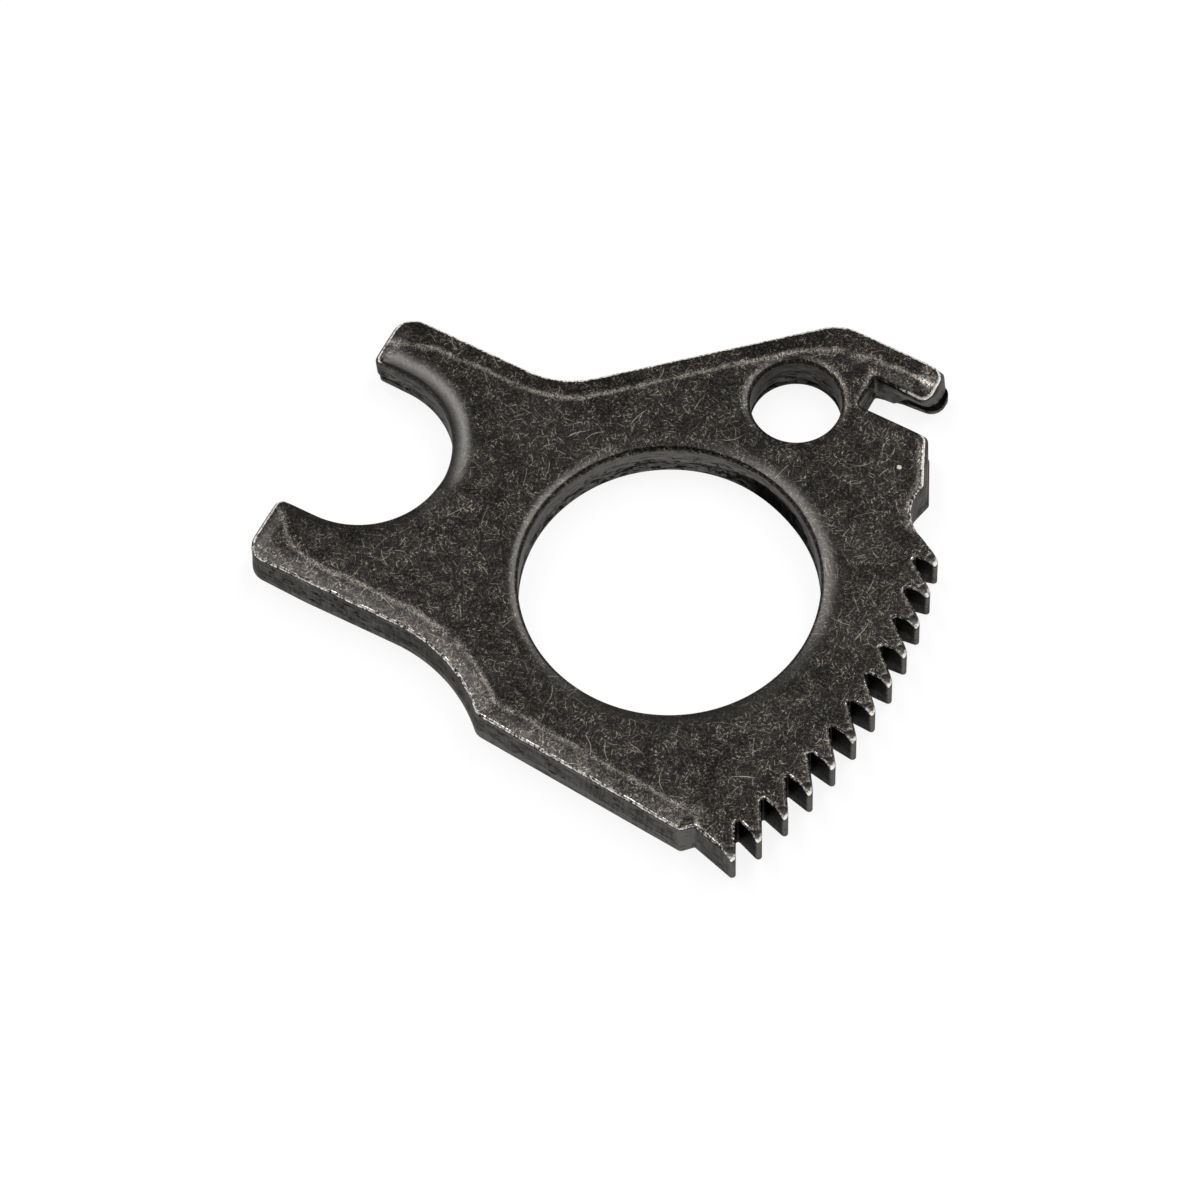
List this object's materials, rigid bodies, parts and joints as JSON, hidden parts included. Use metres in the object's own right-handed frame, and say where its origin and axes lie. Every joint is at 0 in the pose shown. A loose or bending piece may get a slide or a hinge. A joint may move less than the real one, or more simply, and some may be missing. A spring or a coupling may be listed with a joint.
{
  "type": "handbrake locking piece",
  "caption": "Flat punched steel ratchet plate with a forked end, a round bore, a pin hole, a hook and a row of teeth for a handbrake pawl.",
  "frame": {"origin": "centre of the round bore on the under face of the plate", "axes": "+X from the fork towards the teeth, +Y towards the hook, +Z square to the sheet, towards the face with the die roll"},
  "size_m": [0.0693, 0.0636, 0.005],
  "materials": {
    "blackened_steel": "blackened, tumbled, satin"
  },
  "bodies": {
    "root": {"locking_piece": "blackened_steel"}
  },
  "joints": []
}
